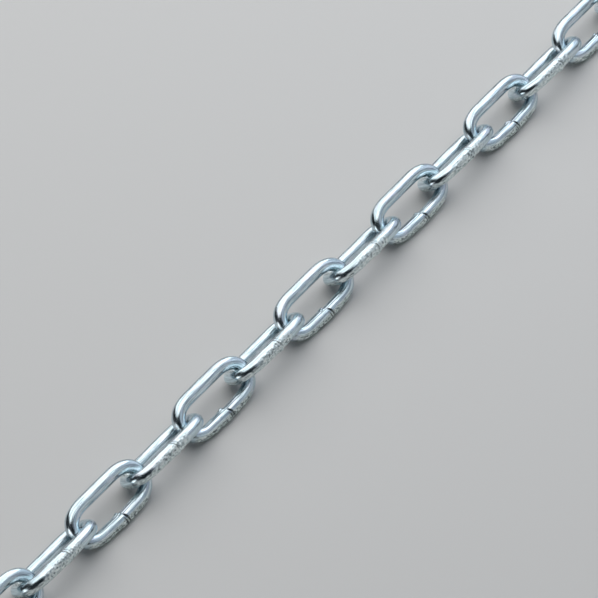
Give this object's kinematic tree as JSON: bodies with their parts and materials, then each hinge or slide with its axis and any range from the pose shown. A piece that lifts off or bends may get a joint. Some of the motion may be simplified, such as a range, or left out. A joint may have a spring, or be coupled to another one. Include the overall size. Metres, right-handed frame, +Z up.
{
  "type": "link chain",
  "caption": "Length of welded steel chain with long straight-sided links of round wire, zinc plated, each link leaning against the next.",
  "frame": {"origin": "on the floor, under the middle of the chain's length and width", "axes": "+X along the chain towards link_14, +Z up; odd links rest on their -Y side and even links on their +Y side"},
  "size_m": [0.5094, 0.0182, 0.0165],
  "materials": {
    "zinc_plated_steel": "bright blue-white zinc plate on drawn steel wire"
  },
  "bodies": {
    "link_01": {"link_01": "zinc_plated_steel"},
    "link_02": {"link_02": "zinc_plated_steel"},
    "link_03": {"link_03": "zinc_plated_steel"},
    "link_04": {"link_04": "zinc_plated_steel"},
    "link_05": {"link_05": "zinc_plated_steel"},
    "link_06": {"link_06": "zinc_plated_steel"},
    "link_07": {"link_07": "zinc_plated_steel"},
    "link_08": {"link_08": "zinc_plated_steel"},
    "link_09": {"link_09": "zinc_plated_steel"},
    "link_10": {"link_10": "zinc_plated_steel"},
    "link_11": {"link_11": "zinc_plated_steel"},
    "link_12": {"link_12": "zinc_plated_steel"},
    "link_13": {"link_13": "zinc_plated_steel"},
    "link_14": {"link_14": "zinc_plated_steel"}
  },
  "joints": [
    {"name": "pivot_01_02", "type": "hinge", "parent": "link_01", "child": "link_02", "pos_m": [-0.20975, 0, 0.00823], "axis": [0, 0.7559, 0.6547], "range_deg": [-135, 135]},
    {"name": "pivot_02_03", "type": "hinge", "parent": "link_02", "child": "link_03", "pos_m": [-0.17425, 0, 0.00823], "axis": [0, 0.7559, -0.6547], "range_deg": [-135, 135]},
    {"name": "pivot_03_04", "type": "hinge", "parent": "link_03", "child": "link_04", "pos_m": [-0.13875, 0, 0.00823], "axis": [0, -0.7559, -0.6547], "range_deg": [-135, 135]},
    {"name": "pivot_04_05", "type": "hinge", "parent": "link_04", "child": "link_05", "pos_m": [-0.10325, 0, 0.00823], "axis": [0, -0.7559, 0.6547], "range_deg": [-135, 135]},
    {"name": "pivot_05_06", "type": "hinge", "parent": "link_05", "child": "link_06", "pos_m": [-0.06775, 0, 0.00823], "axis": [0, 0.7559, 0.6547], "range_deg": [-135, 135]},
    {"name": "pivot_06_07", "type": "hinge", "parent": "link_06", "child": "link_07", "pos_m": [-0.03225, 0, 0.00823], "axis": [0, 0.7559, -0.6547], "range_deg": [-135, 135]},
    {"name": "pivot_07_08", "type": "hinge", "parent": "link_07", "child": "link_08", "pos_m": [0.00325, 0, 0.00823], "axis": [0, -0.7559, -0.6547], "range_deg": [-135, 135]},
    {"name": "pivot_08_09", "type": "hinge", "parent": "link_08", "child": "link_09", "pos_m": [0.03875, 0, 0.00823], "axis": [0, -0.7559, 0.6547], "range_deg": [-135, 135]},
    {"name": "pivot_09_10", "type": "hinge", "parent": "link_09", "child": "link_10", "pos_m": [0.07425, 0, 0.00823], "axis": [0, 0.7559, 0.6547], "range_deg": [-135, 135]},
    {"name": "pivot_10_11", "type": "hinge", "parent": "link_10", "child": "link_11", "pos_m": [0.10975, 0, 0.00823], "axis": [0, 0.7559, -0.6547], "range_deg": [-135, 135]},
    {"name": "pivot_11_12", "type": "hinge", "parent": "link_11", "child": "link_12", "pos_m": [0.14525, 0, 0.00823], "axis": [0, -0.7559, -0.6547], "range_deg": [-135, 135]},
    {"name": "pivot_12_13", "type": "hinge", "parent": "link_12", "child": "link_13", "pos_m": [0.18075, 0, 0.00823], "axis": [0, -0.7559, 0.6547], "range_deg": [-135, 135]},
    {"name": "pivot_13_14", "type": "hinge", "parent": "link_13", "child": "link_14", "pos_m": [0.21625, 0, 0.00823], "axis": [0, 0.7559, 0.6547], "range_deg": [-135, 135]}
  ]
}
